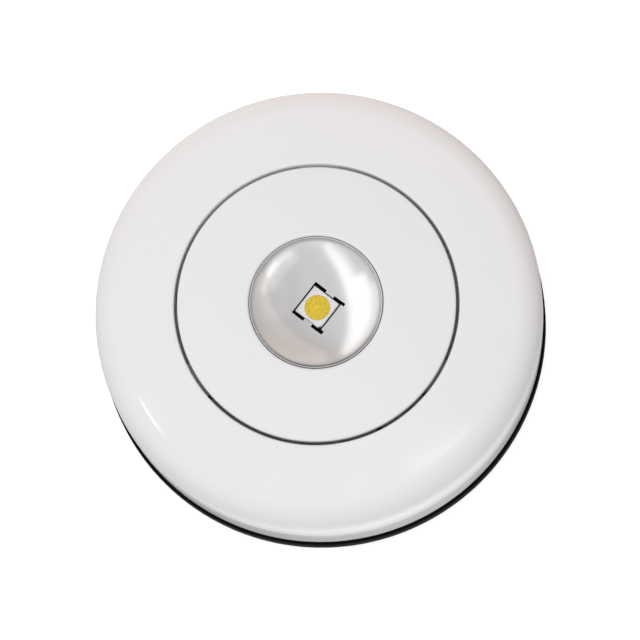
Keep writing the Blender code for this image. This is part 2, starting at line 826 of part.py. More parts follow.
def smooth_route(places, steps):
    """Points of a smooth curve through the given places, as a Catmull-Rom spline."""
    ends = [2 * places[0] - places[1]] + places + [2 * places[-1] - places[-2]]
    points = []
    for before, start, end, after in zip(ends, ends[1:], ends[2:], ends[3:]):
        for step in range(steps):
            t = step / steps
            points.append(
                start
                + (end - before) * (t / 2)
                + (2 * before - 5 * start + 4 * end - after) * (t * t / 2)
                + (3 * start - before - 3 * end + after) * (t**3 / 2)
            )
    return points + [places[-1]]


def make_wires(body):
    """From each end contact's tab, under the board's edge, and up through its hole."""
    level = deck_top + seat_gap + wire_radius
    tab_inner = plate_face - seat_gap
    bend = 2 * wire_radius
    for side, name, colour in ((1, "wire_red", (0.55, 0.02, 0.02)), (-1, "wire_black", (0.02, 0.02, 0.02))):
        start = Vector((-side * cell_pitch, side * tab_inner, level))
        under = Vector((-side * wire_hole_x, side * (wire_hole_y + bend), level))
        straight = start - Vector((0, side * 4 * wire_radius, 0))
        middle = (straight + under) / 2
        top = Vector((-side * wire_hole_x, side * wire_hole_y, board_top + wire_end_rise))
        corner = Vector((top.x, top.y, level + bend))
        route = smooth_route([start, straight, middle, under, corner, top], 3)
        wire_object(name, route, wire_radius, 2, body, (colour, 0.45, 0))


# The disc that is pressed, with its bowl


def make_push_disc(body):
    inner = disc_opening_radius
    outer = disc_radius
    crown_start = inner + disc_inner_edge
    inner_edge = (crown_start, crown_height(crown_start) - disc_inner_edge)
    outer_edge = (outer - face_edge, crown_height(outer - face_edge) - face_edge)
    skirt_bottom = crown_height(outer) - disc_skirt_depth
    outline = [(inner, crown_height(inner, disc_wall))]
    outline += arc(inner_edge, disc_inner_edge, pi, pi / 2, edge_steps)[:-1]
    outline += crown_arc(crown_start, outer - face_edge, 0, dome_steps)
    outline += arc(outer_edge, face_edge, pi / 2, 0, edge_steps)[1:]
    outline += [(outer, skirt_bottom), (skirt_inner_radius, skirt_bottom)]
    outline += crown_arc(skirt_inner_radius, inner, disc_wall, 2)[:-1]
    disc = finished(
        "push_disc", turned(bmesh.new(), outline, disc_sides), body, ((0.80, 0.80, 0.805), 0.24, 0)
    )

    # Three legs run down from the skirt and catch under the housing's collar
    leg_inner = skirt_inner_radius + catch_leg_inset
    leg_outer = disc_radius - catch_leg_inset
    reach = opening_radius + catch_reach
    leg_root = skirt_bottom + union_overlap
    leg = [(leg_inner, catch_bottom), (reach - catch_lead_in, catch_bottom)]
    leg += [(reach, catch_bottom + catch_lead_in), (reach, catch_top)]
    leg += [(leg_outer, catch_top), (leg_outer, leg_root), (leg_inner, leg_root)]
    legs = bmesh.new()
    for turn in around(catch_count, pi / 2):
        swept(legs, leg, turn, catch_half_angle)

    # Stakes hold the bowl's flange, and a post presses the switch
    posts = bmesh.new()
    flange_bottom = reflector_flange_top() - reflector_flange
    root = crown_height(stake_place, disc_wall / 2)
    for x, y in stake_places():
        rod(posts, x, y, stake_radius, flange_bottom - stake_proud, root, small_sides // 2)
    post_root = crown_height(switch_place, disc_wall / 2)
    press_post = rod(bmesh.new(), 0, -switch_place, press_post_radius, plunger_top + seat_gap, post_root)
    combine(disc, "UNION", finished("catch_legs_tool", legs), finished("stakes_tool", posts))
    combine(disc, "UNION", finished("press_post_tool", press_post))


def reflector_flange_top():
    return crown_height(reflector_flange_radius, disc_wall) - seat_gap


def make_reflector_bowl(body):
    sphere_centre = bowl_bottom + bowl_sphere_radius
    lip_outer = reflector_mouth_radius + reflector_lip
    flange_top = reflector_flange_top()
    flange_bottom = flange_top - reflector_flange
    outside = bowl_sphere_radius + reflector_wall

    mouth = -pi / 2 + asin(reflector_mouth_radius / bowl_sphere_radius)
    under = -asin((sphere_centre - flange_bottom) / outside)
    outline = arc((0, sphere_centre), outside, -pi / 2, under, bowl_steps - 2)
    outline[0] = (0, outline[0][1])
    outline += [(reflector_flange_radius, flange_bottom), (reflector_flange_radius, flange_top)]
    outline += [(lip_outer, flange_top), (lip_outer, lip_height)]
    bowl = arc((0, sphere_centre), bowl_sphere_radius, mouth, -pi / 2, bowl_steps)
    bowl[-1] = (0, bowl[-1][1])
    finish = ((0.78, 0.78, 0.77), 0.25, 1)
    reflector = finished("reflector_bowl", turned(bmesh.new(), outline + bowl, bowl_sides), body, finish)

    # The emitter's window: close at the two tongues, wider in the four slots beside them
    window = bmesh.new()
    bottom = bowl_underside - cut_overrun
    top = bowl_bottom + 2 * cut_overrun
    length = led_side + 2 * window_end_room
    neck = led_side + 2 * window_side_room
    block(window, (0, 0, (bottom + top) / 2), (length, neck, top - bottom))
    slots = bmesh.new()
    slot_middle = (window_tongue_width + window_slot_length) / 2
    slot_side = (led_side + window_slot_depth) / 2
    for end in (-1, 1):
        for side in (-1, 1):
            centre = (window_slot_shift + end * slot_middle, side * slot_side, (bottom + top) / 2)
            block(slots, centre, (window_slot_length, window_slot_depth, top - bottom))
    holes = bmesh.new()
    hole_radius = stake_radius + stake_room
    hole_top = flange_top + cut_overrun
    for x, y in stake_places():
        rod(holes, x, y, hole_radius, flange_bottom - cut_overrun, hole_top, small_sides // 2)
    window_tool = finished("window_tool", window)
    slots_tool = finished("window_slots_tool", slots)
    for tool in (window_tool, slots_tool):
        tool.rotation_euler = (0, 0, led_turn)
    combine(reflector, "DIFFERENCE", window_tool, slots_tool, finished("flange_holes_tool", holes))


def main():
    clear_scene()
    bodies = make_bodies()
    base = bodies["base_frame"]
    housing = bodies["housing_frame"]
    make_adhesive_pad(base)
    make_base_plate(base)
    make_front_housing(housing)
    make_battery_tray(housing)
    make_screws(housing)
    make_cells(housing)
    make_contacts(housing)
    make_battery_springs(housing)
    make_circuit_board(housing)
    make_led(housing)
    make_resistor(housing)
    make_switch(housing, bodies["plunger_frame"])
    make_wires(housing)
    make_push_disc(bodies["button_frame"])
    make_reflector_bowl(bodies["button_frame"])


main()
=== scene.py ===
from math import asin, cos, degrees, pi, radians, sin, sqrt, tau

import bmesh
import bpy
from mathutils import Matrix, Vector


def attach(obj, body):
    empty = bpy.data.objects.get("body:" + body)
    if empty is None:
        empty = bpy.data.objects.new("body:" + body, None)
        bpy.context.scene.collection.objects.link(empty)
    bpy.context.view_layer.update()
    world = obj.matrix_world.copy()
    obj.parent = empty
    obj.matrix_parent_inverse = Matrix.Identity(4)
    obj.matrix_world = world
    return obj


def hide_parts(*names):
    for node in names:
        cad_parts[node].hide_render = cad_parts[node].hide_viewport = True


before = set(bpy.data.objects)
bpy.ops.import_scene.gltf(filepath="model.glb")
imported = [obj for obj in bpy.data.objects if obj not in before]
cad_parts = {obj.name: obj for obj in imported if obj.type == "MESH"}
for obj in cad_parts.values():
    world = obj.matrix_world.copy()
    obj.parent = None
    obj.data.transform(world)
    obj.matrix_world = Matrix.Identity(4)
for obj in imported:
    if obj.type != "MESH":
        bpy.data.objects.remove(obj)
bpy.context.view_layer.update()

mm = 0.001
print("frame loaded,", len(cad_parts), "nodes")

# What the pieces share, in millimetres and degrees
lamp = dict(
    crownRadius=126.0,  # the one shallow dome that disc and housing both follow
    crownRim=(10.55, 24.0),  # a point on that dome, at the disc's inner edge
    wall=2.0,
    boreRadius=22.25,  # the housing's opening
    bodyRadius=35.05,
    insideRadius=33.05,
    shoulder=5.2,
    discWall=1.5,
    flangeRadius=13.05,  # of the bowl, under the disc
    flangeThick=0.8,
    flangeGap=0.3,
    switchPlace=14.75,
    stakePlace=11.75,
    stakeAngles=(90, 210, 330),
    emitterTurn=-38.0,
)
lamp["crownCentre"] = lamp["crownRim"][1] - sqrt(lamp["crownRadius"] ** 2 - lamp["crownRim"][0] ** 2)

# How fine the meshes are
build = dict(
    turnSteps=176,  # faces round each large turned piece
    windowSteps=96,  # and round the emitter's window
    tubeSteps=40,
    cornerSegments=4,
    roundShape=0.5,
    mergeWithin=0.0002,
    softenOver=0.7,  # radians between two faces, over which their edge is softened
    sharpOver=38,  # degrees between two faces, over which the shading breaks
)


# Heights and places

def crownHeight(radius, depth=0.0):
    return lamp["crownCentre"] + sqrt((lamp["crownRadius"] - depth) ** 2 - radius**2)


def crownSwing(start, end, ball):
    # The turn from one radius to another along a ball's surface
    return degrees(asin(end / ball) - asin(start / ball))


def flangeHeights():
    high = crownHeight(lamp["flangeRadius"], lamp["discWall"]) - lamp["flangeGap"]
    return high - lamp["flangeThick"], high


def placeAt(radius, turn):
    return radius * cos(radians(turn)), radius * sin(radians(turn))


# Mesh helpers

def strokeProfile(strokes, closed=True):
    # A profile in the XZ plane, of ("to", radius, height, rounding) and
    # ("arc", centre radius, centre height, degrees, steps)
    bm = bmesh.new()
    last = None
    corners = []
    for kind, across, height, *rest in strokes:
        if kind == "to":
            point = bm.verts.new((across * mm, 0, height * mm))
            if last:
                bm.edges.new((last, point))
            if rest:
                corners.append((point, rest[0] * mm))
            last = point
        else:
            swung = bmesh.ops.spin(
                bm, geom=[last], cent=(across * mm, 0, height * mm), axis=(0, 1, 0),
                angle=radians(rest[0]), steps=rest[1],
            )
            last = [part for part in swung["geom_last"] if isinstance(part, bmesh.types.BMVert)][0]
    if closed:
        bm.verts.ensure_lookup_table()
        bm.edges.new((last, bm.verts[0]))
    for point, size in corners:
        bmesh.ops.bevel(
            bm, geom=[point], offset=size, offset_type="OFFSET", segments=build["cornerSegments"],
            profile=build["roundShape"], affect="VERTICES", material=-1,
        )
    return bm


def turnProfile(bm, steps=build["turnSteps"], centre=(0, 0, 0)):
    bmesh.ops.spin(
        bm, geom=bm.verts[:] + bm.edges[:], cent=centre, axis=(0, 0, 1), angle=tau, steps=steps,
        use_merge=True,
    )
    bmesh.ops.remove_doubles(bm, verts=bm.verts, dist=build["mergeWithin"] * mm)
    bmesh.ops.recalc_face_normals(bm, faces=bm.faces)
    return bm


def softenEdges(bm, size, segments=2):
    sharp = [
        edge for edge in bm.edges
        if len(edge.link_faces) == 2 and edge.calc_face_angle() > build["softenOver"]
    ]
    bmesh.ops.bevel(
        bm, geom=sharp, offset=size * mm, offset_type="OFFSET", segments=segments,
        profile=build["roundShape"], affect="EDGES", material=-1, clamp_overlap=True,
    )
    return bm


def sectorOf(outline, middle, half, steps=10, soft=0.08):
    # A filled outline of (radius, height) points, swung round the lamp's axis
    # from middle - half to middle + half
    bm = bmesh.new()
    start = Matrix.Rotation(radians(middle - half), 4, "Z")
    corners = [bm.verts.new(start @ Vector((across * mm, 0, height * mm))) for across, height in outline]
    face = bm.faces.new(corners)
    bmesh.ops.spin(
        bm, geom=[face], cent=(0, 0, 0), axis=(0, 0, 1), angle=radians(2 * half), steps=steps,
    )
    bmesh.ops.recalc_face_normals(bm, faces=bm.faces)
    return softenEdges(bm, soft)


def tubeAt(x, y, outer, inner, low, high, soft=0.12):
    # A standing tube, or a rod where the inner radius is 0
    bm = bmesh.new()
    corners = [(outer, low), (outer, high), (inner, high), (inner, low)]
    if not inner:
        corners = [(0, low), (outer, low), (outer, high), (0, high)]
    points = [bm.verts.new(((x + across) * mm, y * mm, height * mm)) for across, height in corners]
    others = points[1:] + points[:1] if inner else points[1:]
    for one, other in zip(points, others):
        bm.edges.new((one, other))
    turnProfile(bm, build["tubeSteps"], (x * mm, y * mm, 0))
    return softenEdges(bm, soft)


def blockAt(centre, size, turn=0.0, soft=0.1):
    bm = bmesh.new()
    place = Matrix.Translation(Vector(centre) * mm) @ Matrix.Rotation(radians(turn), 4, "Z")
    bmesh.ops.create_cube(bm, size=1, matrix=place @ Matrix.Diagonal((*(Vector(size) * mm), 1)))
    return softenEdges(bm, soft)


def gather(bm, extras):
    for extra in extras:
        mesh = bpy.data.meshes.new("extra")
        extra.to_mesh(mesh)
        extra.free()
        bm.from_mesh(mesh)
        bpy.data.meshes.remove(mesh)
    return bm


def cutAway(piece, *tools):
    # The tools' shapes come off the piece, and the tools are thrown away
    for tool in tools:
        cut = piece.modifiers.new(tool.name, "BOOLEAN")
        cut.operation = "DIFFERENCE"
        cut.solver = "EXACT"
        cut.object = tool
    solved = bpy.data.meshes.new_from_object(piece.evaluated_get(bpy.context.evaluated_depsgraph_get()))
    piece.modifiers.clear()
    piece.data = solved
    for tool in tools:
        bpy.data.objects.remove(tool)


def looseObject(name, bm):
    mesh = bpy.data.meshes.new(name)
    bm.to_mesh(mesh)
    bm.free()
    piece = bpy.data.objects.new(name, mesh)
    bpy.context.scene.collection.objects.link(piece)
    return piece


def finishPiece(piece, body, node, material):
    mesh = piece.data
    mesh.materials.clear()
    mesh.materials.append(material)
    mesh.shade_smooth()
    mesh.set_sharp_from_angle(angle=radians(build["sharpOver"]))
    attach(piece, body)
    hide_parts(node)
    print("made", piece.name, "with", len(mesh.polygons), "faces")


# Material helpers

def opaque(colour):
    return (*colour, 1)


def addNode(tree, kind, feeds=None, **settings):
    node = tree.nodes.new(kind)
    for setting, value in settings.items():
        setattr(node, setting, value)
    for socket, value in (feeds or {}).items():
        if isinstance(value, bpy.types.NodeSocket):
            tree.links.new(value, node.inputs[socket])
        else:
            node.inputs[socket].default_value = value
    return node


def addGroup(tree, group, feeds):
    return addNode(tree, "ShaderNodeGroup", feeds, node_tree=group).outputs


def addNoise(tree, place, size, detail, **more):
    feeds = {"Vector": place, "Scale": size, "Detail": detail, **more}
    return addNode(tree, "ShaderNodeTexNoise", feeds).outputs["Fac"]


def mapRange(tree, value, start, end, low=0.0, high=1.0):
    # Values from start to end become low to high
    feeds = {"Value": value, "From Min": start, "From Max": end, "To Min": low, "To Max": high}
    return addNode(tree, "ShaderNodeMapRange", feeds).outputs["Result"]


def mix(tree, share, one, other, kind="RGBA"):
    feeds = {"Factor": share, "A": one, "B": other}
    return addNode(tree, "ShaderNodeMix", feeds, data_type=kind).outputs["Result"]


def reckon(tree, operation, one, other):
    return addNode(tree, "ShaderNodeMath", {0: one, 1: other}, operation=operation).outputs["Value"]


def startGroup(name, inputs, outputs):
    group = bpy.data.node_groups.new(name, "ShaderNodeTree")
    for label, kind, value in inputs:
        socket = group.interface.new_socket(label, in_out="INPUT", socket_type="NodeSocket" + kind)
        if value is not None:
            socket.default_value = value
    for label, kind in outputs:
        group.interface.new_socket(label, in_out="OUTPUT", socket_type="NodeSocket" + kind)
    return group, group.nodes.new("NodeGroupInput").outputs, group.nodes.new("NodeGroupOutput").inputs


def startMaterial(name, sockets):
    material = bpy.data.materials.new(name)
    material.use_nodes = True
    inputs = material.node_tree.nodes["Principled BSDF"].inputs
    for socket, value in sockets.items():
        inputs[socket].default_value = value
    return material, material.node_tree, inputs


def makeMouldGrain():
    # The tool's fine texture with a slow ripple under it, as a height
    group, given, put = startGroup(
        "mouldGrain",
        [("Place", "Vector", None), ("Fine", "Float", 4000.0), ("Slow", "Float", 90.0),
         ("Slow Share", "Float", 0.5)],
        [("Height", "Float")],
    )
    fine = addNoise(group, given["Place"], given["Fine"], detail=3.0)
    slow = addNoise(group, given["Place"], given["Slow"], detail=2.0)
    group.links.new(mix(group, given["Slow Share"], fine, slow, "FLOAT"), put["Height"])
    return group


def makeHandMarks():
    # Smudges from fingers and a few hairlines, as a roughness
    group, given, put = startGroup(
        "handMarks",
        [("Place", "Vector", None), ("Clean", "Float", 0.2), ("Marked", "Float", 0.3),
         ("Size", "Float", 60.0), ("Hairlines", "Float", 0.05)],
        [("Roughness", "Float")],
    )
    cloud = addNoise(group, given["Place"], given["Size"], detail=7.0, Roughness=0.62, Distortion=0.8)
    smudge = mapRange(group, cloud, start=0.42, end=0.68, low=given["Clean"], high=given["Marked"])
    stretched = addNode(
        group, "ShaderNodeMapping",
        {"Vector": given["Place"], "Rotation": (0.0, 0.0, 0.6), "Scale": (9.0, 700.0, 300.0)},
    )
    lines = addNoise(group, stretched.outputs["Vector"], size=4.0, detail=2.0)
    thin = mapRange(group, lines, start=0.66, end=0.74)
    scratch = reckon(group, "MULTIPLY", thin, given["Hairlines"])
    group.links.new(reckon(group, "ADD", smudge, scratch), put["Roughness"])
    return group


def makeAgeTint():
    # Painted shade: the colour darkens in seams, gaps and hollows, where the AO node finds other surfaces
    # close. Rubbed edges are lighter, as a colour
    group, given, put = startGroup(
        "ageTint",
        [("Colour", "Color", (0.8, 0.8, 0.8, 1)), ("Painted Shade Colour", "Color", (0.1, 0.09, 0.08, 1)),
         ("Edge Colour", "Color", (0.9, 0.9, 0.9, 1)), ("Reach", "Float", 0.002), ("Painted Shade", "Float", 0.6),
         ("Edges", "Float", 0.3)],
        [("Colour", "Color")],
    )
    # where the AO node finds other surfaces close, the colour darkens as painted shade
    closed = addNode(group, "ShaderNodeAmbientOcclusion", {"Distance": given["Reach"]}, samples=8)
    shadeMask = mapRange(group, closed.outputs["AO"], start=0.15, end=0.8, low=1.0, high=0.0)
    shadeShare = reckon(group, "MULTIPLY", shadeMask, given["Painted Shade"])
    shaded = mix(group, shadeShare, given["Colour"], given["Painted Shade Colour"])
    shape = addNode(group, "ShaderNodeNewGeometry")
    edge = mapRange(group, shape.outputs["Pointiness"], start=0.52, end=0.62)
    edgeShare = reckon(group, "MULTIPLY", edge, given["Edges"])
    group.links.new(mix(group, edgeShare, shaded, given["Edge Colour"]), put["Colour"])
    return group


mouldGrain = makeMouldGrain()
handMarks = makeHandMarks()
ageTint = makeAgeTint()

# What a finish has unless it says otherwise. Noise scales are per metre, reach and depth in millimetres.
usualFinish = dict(
    cloudSize=70.0,  # of the drift between the two colours
    # painted shade in seams and gaps: its colour, reach and share
    paintedShadeColour=(0.1, 0.09, 0.08),
    paintedShadeReach=1.5,
    paintedShadeShare=0.4,
    edges=0.3,
    markSize=55.0,
    hairlines=0.04,
    fine=3500.0,
    slow=120.0,
    slowShare=0.5,
    bump=0.1,
    bumpDepth=0.03,
    sockets={},
)


def makeFinish(name, given):
    # The common build of a finish: colour with painted shade in its seams and gaps and lighter rubbed edges,
    # marked roughness and grain as a bump
    values = {**usualFinish, "edgeColour": given["colour"], **given}
    material, tree, inputs = startMaterial(name, values["sockets"])
    place = addNode(tree, "ShaderNodeTexCoord").outputs["Object"]
    cloud = addNoise(tree, place, values["cloudSize"], detail=4.0)
    # painted shade darkens the colour in seams and gaps, and rubbed edges lighten it
    tint = addGroup(tree, ageTint, {
        "Colour": mix(tree, cloud, opaque(values["colour"]), opaque(values["otherColour"])),
        "Painted Shade Colour": opaque(values["paintedShadeColour"]),
        "Edge Colour": opaque(values["edgeColour"]),
        "Reach": values["paintedShadeReach"] * mm,
        "Painted Shade": values["paintedShadeShare"],
        "Edges": values["edges"],
    })
    tree.links.new(tint["Colour"], inputs["Base Color"])
    marks = addGroup(tree, handMarks, {
        "Place": place, "Clean": values["clean"], "Marked": values["marked"], "Size": values["markSize"],
        "Hairlines": values["hairlines"],
    })
    tree.links.new(marks["Roughness"], inputs["Roughness"])
    grain = addGroup(tree, mouldGrain, {
        "Place": place, "Fine": values["fine"], "Slow": values["slow"], "Slow Share": values["slowShare"],
    })
    bump = addNode(
        tree, "ShaderNodeBump",
        {"Strength": values["bump"], "Distance": values["bumpDepth"] * mm, "Height": grain["Height"]},
    )
    tree.links.new(bump.outputs["Normal"], inputs["Normal"])
    return material


# Finishes

finishValues = dict(
    whiteGloss=dict(
        # its painted shade darkens the ring gap round the disc and the other seams
        colour=(0.775, 0.772, 0.785), otherColour=(0.762, 0.76, 0.772), paintedShadeColour=(0.05, 0.045, 0.042),
        edgeColour=(0.78, 0.775, 0.77), paintedShadeReach=0.9, paintedShadeShare=0.15, edges=0.25, clean=0.11, marked=0.17,
        markSize=45.0, hairlines=0.03, fine=2500.0, slow=85.0, slowShare=0.6, bump=0.06, bumpDepth=0.02,
    ),
    # near pure black: the base's black plastic, made darker still as painted shadow under the housing's rim
    blackSatin=dict(
        colour=(0.002, 0.002, 0.0022), otherColour=(0.003, 0.003, 0.0032), paintedShadeColour=(0.006, 0.0055, 0.005),
        edgeColour=(0.008, 0.008, 0.008), paintedShadeShare=0.3, edges=0.2, clean=0.46, marked=0.56, fine=5000.0,
        slowShare=0.15, bump=0.3, bumpDepth=0.03, sockets={"Specular IOR Level": 0.05},
    ),
    bowlSilver=dict(
        colour=(0.70, 0.695, 0.69), otherColour=(0.68, 0.67, 0.662), paintedShadeColour=(0.16, 0.15, 0.145),
        edgeColour=(0.72, 0.72, 0.72), paintedShadeReach=0.6, paintedShadeShare=0.15, edges=0.1, clean=0.19, marked=0.25,
        markSize=130.0, hairlines=0.02, fine=2600.0, slow=260.0, slowShare=0.6, bump=0.02, bumpDepth=0.02,
        sockets={"Metallic": 1.0},
    ),
    padFoam=dict(
        colour=(0.72, 0.72, 0.70), otherColour=(0.62, 0.62, 0.60), cloudSize=900.0, paintedShadeShare=0.4, edges=0.1,
        clean=0.85, marked=0.95, fine=1800.0, slow=400.0, slowShare=0.3, bump=0.8, bumpDepth=0.15,
    ),
    whiteInner=dict(
        colour=(0.66, 0.66, 0.64), otherColour=(0.62, 0.62, 0.60), clean=0.42, marked=0.55, bump=0.2,
    ),
    screwSteel=dict(
        colour=(0.58, 0.58, 0.59), otherColour=(0.50, 0.50, 0.48), cloudSize=900.0,
        edgeColour=(0.75, 0.75, 0.74), clean=0.28, marked=0.42, markSize=500.0, fine=6000.0, bump=0.15,
        sockets={"Metallic": 1.0},
    ),
    cellSleeve=dict(
        colour=(0.035, 0.13, 0.08), otherColour=(0.03, 0.11, 0.07), edgeColour=(0.3, 0.3, 0.3), clean=0.24,
        marked=0.34, bump=0.08, sockets={"Coat Roughness": 0.12, "Coat Weight": 0.4},
    ),
    contactNickel=dict(
        colour=(0.66, 0.64, 0.60), otherColour=(0.58, 0.56, 0.51), cloudSize=400.0,
        edgeColour=(0.8, 0.78, 0.74), clean=0.22, marked=0.36, markSize=400.0, fine=5000.0, bump=0.1,
        sockets={"Metallic": 1.0},
    ),
    # a black solder mask, near pure black so that it also stands in for the shade seen through the bowl's
    # slots: partly painted shade
    boardMask=dict(
        colour=(0.004, 0.004, 0.004), otherColour=(0.006, 0.006, 0.006), paintedShadeColour=(0.002, 0.002, 0.002),
        edgeColour=(0.006, 0.006, 0.006), paintedShadeShare=0.9, edges=0.0, clean=0.5, marked=0.6, fine=7000.0, bump=0.1,
        sockets={"Specular IOR Level": 0.2},
    ),
    packageWhite=dict(
        # painted shade darkens it round the emitter's window and its edges
        colour=(0.77, 0.765, 0.76), otherColour=(0.72, 0.715, 0.71), cloudSize=900.0,
        paintedShadeColour=(0.45, 0.42, 0.36), paintedShadeReach=0.35, paintedShadeShare=0.35, edgeColour=(0.85, 0.85, 0.84), clean=0.3,
        marked=0.4, markSize=900.0, fine=9000.0, bump=0.1, bumpDepth=0.01,
    ),
    leadTin=dict(
        colour=(0.78, 0.78, 0.77), otherColour=(0.68, 0.68, 0.66), cloudSize=2500.0, clean=0.2, marked=0.32,
        markSize=1500.0, fine=9000.0, bump=0.1, bumpDepth=0.01, paintedShadeReach=0.4, sockets={"Metallic": 1.0},
    ),
    componentBlack=dict(
        colour=(0.02, 0.02, 0.022), otherColour=(0.026, 0.026, 0.028), clean=0.4, marked=0.5, fine=6000.0,
        bump=0.3, bumpDepth=0.02,
    ),
    plungerWhite=dict(
        colour=(0.7, 0.7, 0.68), otherColour=(0.66, 0.66, 0.64), clean=0.35, marked=0.45, bump=0.1,
    ),
    sleeveRed=dict(
        colour=(0.42, 0.012, 0.012), otherColour=(0.36, 0.01, 0.01), edgeColour=(0.5, 0.05, 0.04),
        clean=0.32, marked=0.42, bump=0.1,
    ),
    sleeveBlack=dict(
        colour=(0.014, 0.014, 0.014), otherColour=(0.02, 0.02, 0.02), clean=0.34, marked=0.44, bump=0.1,
    ),
)
finishes = {name: makeFinish(name, values) for name, values in finishValues.items()}


def makePhosphor():
    # Silicone with yellow grains in it, and darker specks between them
    values = dict(
        grain=2600.0, speck=4200.0, speckShare=0.45, pale=(0.80, 0.58, 0.03), deep=(0.60, 0.41, 0.012),
        dark=(0.36, 0.22, 0.02), clean=0.3, marked=0.42, markSize=1200.0, bump=0.25, bumpDepth=0.03,
        sockets={
            "Coat Weight": 0.12, "Coat Roughness": 0.12, "Subsurface Weight": 0.15,
            "Subsurface Radius": (0.4 * mm, 0.3 * mm, 0.05 * mm),
        },
    )
    material, tree, inputs = startMaterial("phosphorGel", values["sockets"])
    place = addNode(tree, "ShaderNodeTexCoord").outputs["Object"]
    grain = addNoise(tree, place, values["grain"], detail=4.0, Roughness=0.6)
    spread = mapRange(tree, grain, start=0.36, end=0.64)
    body = mix(tree, spread, opaque(values["deep"]), opaque(values["pale"]))
    speck = addNode(tree, "ShaderNodeTexVoronoi", {"Vector": place, "Scale": values["speck"]})
    small = mapRange(
        tree, speck.outputs["Distance"], start=0.12, end=0.3, low=values["speckShare"], high=0.0,
    )
    tree.links.new(mix(tree, small, body, opaque(values["dark"])), inputs["Base Color"])
    marks = addGroup(tree, handMarks, {
        "Place": place, "Clean": values["clean"], "Marked": values["marked"], "Size": values["markSize"],
        "Hairlines": 0.0,
    })
    tree.links.new(marks["Roughness"], inputs["Roughness"])
    bump = addNode(
        tree, "ShaderNodeBump",
        {"Strength": values["bump"], "Distance": values["bumpDepth"] * mm, "Height": grain},
    )
    tree.links.new(bump.outputs["Normal"], inputs["Normal"])
    return material


finishes["phosphorGel"] = makePhosphor()
print("finishes made,", len(finishes))


# Pieces that stay on the wall

def makePad():
    pad = dict(radius=24.0, thick=1.0, edge=0.18)
    bm = turnProfile(strokeProfile([
        ("to", 0, 0),
        ("to", pad["radius"], 0, pad["edge"]),
        ("to", pad["radius"], pad["thick"], pad["edge"]),
        ("to", 0, pad["thick"]),
    ], closed=False))
    finishPiece(looseObject("foamPad", bm), "base", "adhesive_pad", finishes["padFoam"])


def makeBase():
    base = dict(
        radius=35.25, low=1.3, floor=2.9, top=5.0, lip=6.1, lipRadius=32.75, hookInside=30.85, chamfer=0.9,
        topSoft=0.2, lipSoft=0.12, floorSoft=0.25, web=31.75, flange=(8.3, 9.9), halfAngle=6.5, hookSink=0.4,
        hookInset=0.2, hookChamfer=0.4, stopAngle=-7.4, stopHalf=1.1, stopSteps=2,
    )
    outside = base["lipRadius"]
    bm = turnProfile(strokeProfile([
        ("to", 0, base["low"]),
        ("to", base["radius"], base["low"], base["chamfer"]),
        ("to", base["radius"], base["top"], base["topSoft"]),
        ("to", outside, base["top"]),
        ("to", outside, base["lip"], base["lipSoft"]),
        ("to", base["hookInside"], base["lip"], base["lipSoft"]),
        ("to", base["hookInside"], base["floor"], base["floorSoft"]),
        ("to", 0, base["floor"]),
    ], closed=False))
    low, high = base["flange"]
    root = base["lip"] - base["hookSink"]
    inside = base["hookInside"] + base["hookInset"]
    cut = base["hookChamfer"]
    hook = [(inside, root), (base["web"], root), (base["web"], low), (outside, low)]
    hook += [(outside, high - cut), (outside - cut, high), (inside, high)]
    stop = [(inside, root), (outside - cut, root), (outside - cut, high - cut), (inside, high - cut)]
    quarters = [90.0 * quarter for quarter in range(4)]
    hooks = [sectorOf(hook, turn, base["halfAngle"]) for turn in quarters]
    hooks += [
        sectorOf(stop, turn + base["stopAngle"], base["stopHalf"], base["stopSteps"]) for turn in quarters
    ]
    # the base's black is partly painted shadow under the housing's rim
    finishPiece(
        looseObject("twistBase", gather(bm, hooks)), "base", "base_plate",
        finishes["blackSatin"],
    )


makePad()
makeBase()


# The housing

